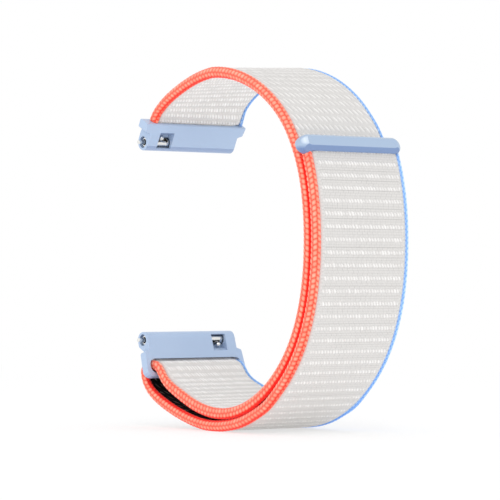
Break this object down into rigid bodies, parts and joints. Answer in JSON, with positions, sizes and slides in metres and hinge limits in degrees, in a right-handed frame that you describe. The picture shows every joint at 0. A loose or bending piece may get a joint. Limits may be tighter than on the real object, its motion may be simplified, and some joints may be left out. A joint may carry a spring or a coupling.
{
  "type": "hook and loop watch strap",
  "caption": "Woven loop strap for a watch with quick release lug adaptors, two-colour corded edges and a hook and loop end under a moulded tab.",
  "frame": {"origin": "midway between the two spring bars", "axes": "+Z towards the upper (fixed end) adaptor, +Y towards the watch case, X along the spring bars with the coral edge at -X"},
  "size_m": [0.0244, 0.057, 0.0703],
  "materials": {
    "adaptor_plastic": "satin moulded nylon, light blue",
    "web": "woven nylon, off-white with raised ribs",
    "near_edge": "corded woven edge, coral",
    "far_edge": "corded woven edge, bright blue",
    "hook_tape": "hook tape, pale grey",
    "steel": "polished stainless steel",
    "spring_steel": "drawn spring wire"
  },
  "bodies": {
    "fixed_run": {"fixed_run_web": "web", "fixed_run_near_edge": "near_edge", "fixed_run_far_edge": "far_edge", "anchor_rod": "steel"},
    "upper_adaptor": {"upper_adaptor": "adaptor_plastic", "upper_bar_tube": "steel", "upper_fixed_pin": "steel", "upper_bar_spring": "spring_steel"},
    "upper_release": {"upper_sliding_pin": "steel", "upper_release_knob": "steel"},
    "lower_adaptor": {"lower_adaptor": "adaptor_plastic", "lower_bar_tube": "steel", "lower_fixed_pin": "steel", "lower_bar_spring": "spring_steel"},
    "lower_release": {"lower_sliding_pin": "steel", "lower_release_knob": "steel"},
    "outer_run": {"outer_run_web": "web", "outer_run_near_edge": "near_edge", "outer_run_far_edge": "far_edge"},
    "tip": {"tip_web": "web", "tip_near_edge": "near_edge", "tip_far_edge": "far_edge", "hook_patch": "hook_tape", "end_tab": "adaptor_plastic"}
  },
  "joints": [
    {"name": "upper_adaptor_swivel", "type": "hinge", "parent": "fixed_run", "child": "upper_adaptor", "pos_m": [0, -0.00174, 0.02273], "axis": [1, 0, 0], "range_deg": [-4, 6]},
    {"name": "lower_adaptor_swivel", "type": "hinge", "parent": "fixed_run", "child": "lower_adaptor", "pos_m": [0, -0.00305, -0.02656], "axis": [1, 0, 0], "range_deg": [-10, 10]},
    {"name": "upper_release", "type": "slide", "parent": "upper_adaptor", "child": "upper_release", "axis": [1, 0, 0], "range_m": [0, 0.0013], "stiffness_N_per_m": 500, "springref_m": -0.0015, "deforming": ["upper_bar_spring"]},
    {"name": "lower_release", "type": "slide", "parent": "lower_adaptor", "child": "lower_release", "axis": [-1, 0, 0], "range_m": [0, 0.0013], "stiffness_N_per_m": 500, "springref_m": -0.0015, "deforming": ["lower_bar_spring"]},
    {"name": "outer_run_swing", "type": "hinge", "parent": "fixed_run", "child": "outer_run", "pos_m": [0, 0.0002, -0.02563], "axis": [1, 0, 0], "range_deg": [0, 60]},
    {"name": "tip_peel", "type": "hinge", "parent": "outer_run", "child": "tip", "pos_m": [0, -0.03917, -0.03133], "axis": [1, 0, 0], "range_deg": [0, 70]}
  ]
}
